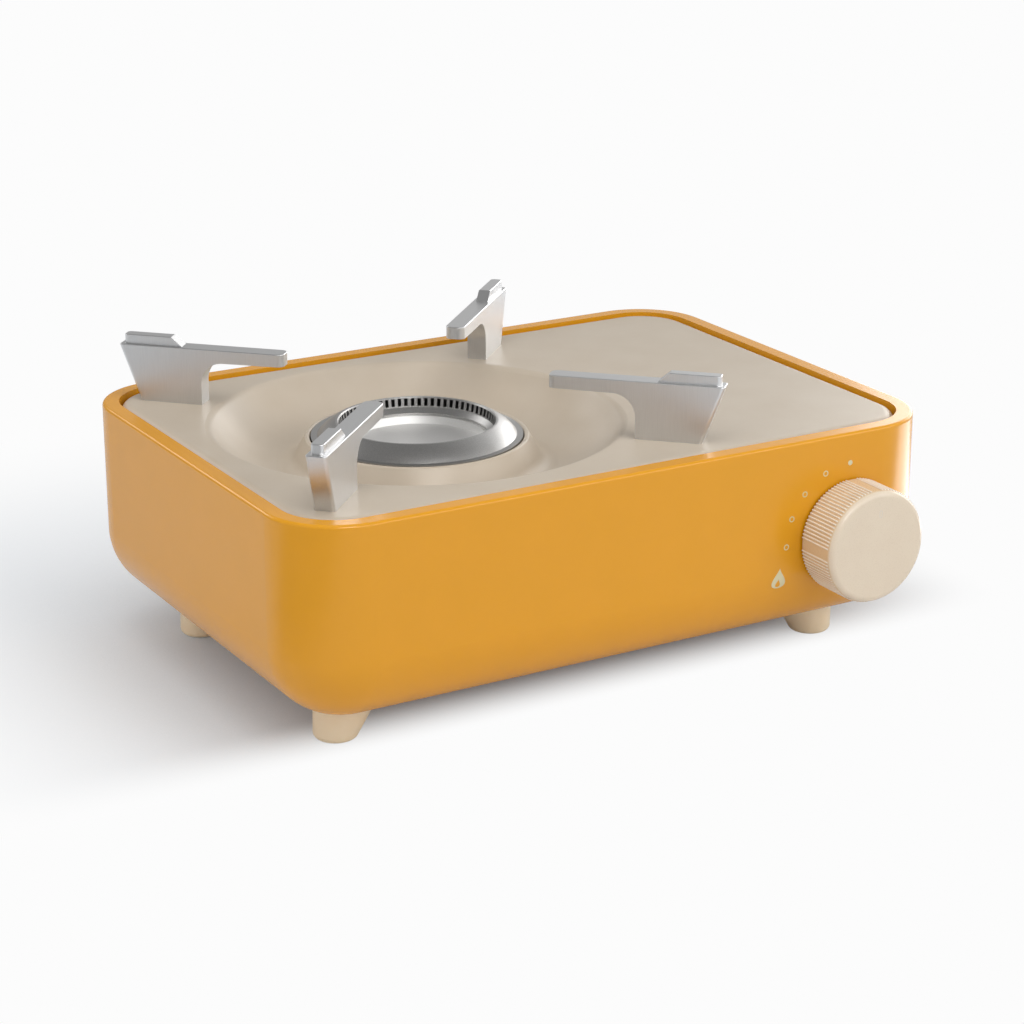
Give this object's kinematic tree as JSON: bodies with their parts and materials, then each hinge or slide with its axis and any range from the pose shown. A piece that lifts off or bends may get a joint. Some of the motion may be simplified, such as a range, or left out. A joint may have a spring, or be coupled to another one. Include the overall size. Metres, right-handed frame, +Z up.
{
  "type": "butane cassette stove",
  "caption": "Table-top gas stove with a painted case on splayed feet, a dished top plate with pot supports round a ring burner, and a ribbed ignition knob.",
  "frame": {"origin": "on the floor, under the middle of the whole stove with its knob", "axes": "+X to the user's right, +Y to the rear, +Z up; the knob faces -Y"},
  "size_m": [0.336, 0.2648, 0.1473],
  "materials": {
    "case_paint": "satin powder coat, orange",
    "plate_enamel": "satin enamel, cream",
    "foot_plastic": "matte, warm cream",
    "knob_plastic": "satin, cream",
    "support_steel": "brushed stainless",
    "burner_steel": "spun stainless",
    "bowl_chrome": "bright",
    "plated_steel": "zinc plated sheet",
    "screw_steel": "plated",
    "regulator_zinc": "die cast",
    "jet_brass": "machined",
    "seal_rubber": "matte",
    "pad_rubber": "matte",
    "igniter_plastic": "matte, black",
    "lead_rubber": "silicone sleeve",
    "electrode_ceramic": "bare",
    "magnet_ferrite": "ferrite, dark grey"
  },
  "bodies": {
    "case": {"case_shell": "case_paint", "foot_screws": "screw_steel", "foot_nuts": "screw_steel", "floor_screws": "screw_steel", "plate_pads": "pad_rubber", "partition": "plated_steel", "burner_bracket": "plated_steel", "cartridge_cradle": "plated_steel", "regulator_bracket": "plated_steel", "burner_head": "burner_steel", "burner_pan": "burner_steel", "burner_bowl": "bowl_chrome", "mixing_tube": "plated_steel", "igniter_body": "igniter_plastic", "igniter_lead": "lead_rubber", "electrode_ceramic": "electrode_ceramic", "electrode_pin": "screw_steel", "panel_bushing": "jet_brass", "regulator_body": "regulator_zinc", "regulator_diaphragm": "seal_rubber", "regulator_cap": "regulator_zinc", "regulator_spring": "screw_steel", "cap_screws": "screw_steel", "gas_jet": "jet_brass", "inlet_seal": "seal_rubber", "magnet_ring": "magnet_ferrite", "cartridge_guide": "plated_steel", "foot_front_left": "foot_plastic", "foot_front_right": "foot_plastic", "foot_rear_left": "foot_plastic", "foot_rear_right": "foot_plastic"},
    "knob": {"knob": "knob_plastic", "knob_clip": "screw_steel", "valve_stem": "jet_brass", "stem_cam": "plated_steel"},
    "plunger": {"igniter_plunger": "igniter_plastic"},
    "plate": {"top_plate": "plate_enamel", "support_screws": "screw_steel", "pot_support_front_right": "support_steel", "pot_support_rear_right": "support_steel", "pot_support_rear_left": "support_steel", "pot_support_front_left": "support_steel"}
  },
  "joints": [
    {"name": "knob_turn", "type": "hinge", "parent": "case", "child": "knob", "pos_m": [0.1146, -0.1096, 0.0668], "axis": [0, -1, 0], "range_deg": [0, 112.5]},
    {"name": "plunger_push", "type": "slide", "parent": "case", "child": "plunger", "axis": [-1, 0, 0], "range_m": [0, 0.005]},
    {"name": "plate_lift", "type": "slide", "parent": "case", "child": "plate", "axis": [0, 0, 1], "range_m": [0, 0.08]}
  ],
  "couplings": [
    {"joint": "plunger_push", "follows": "knob_turn", "m_per_rad": 0.00254}
  ]
}
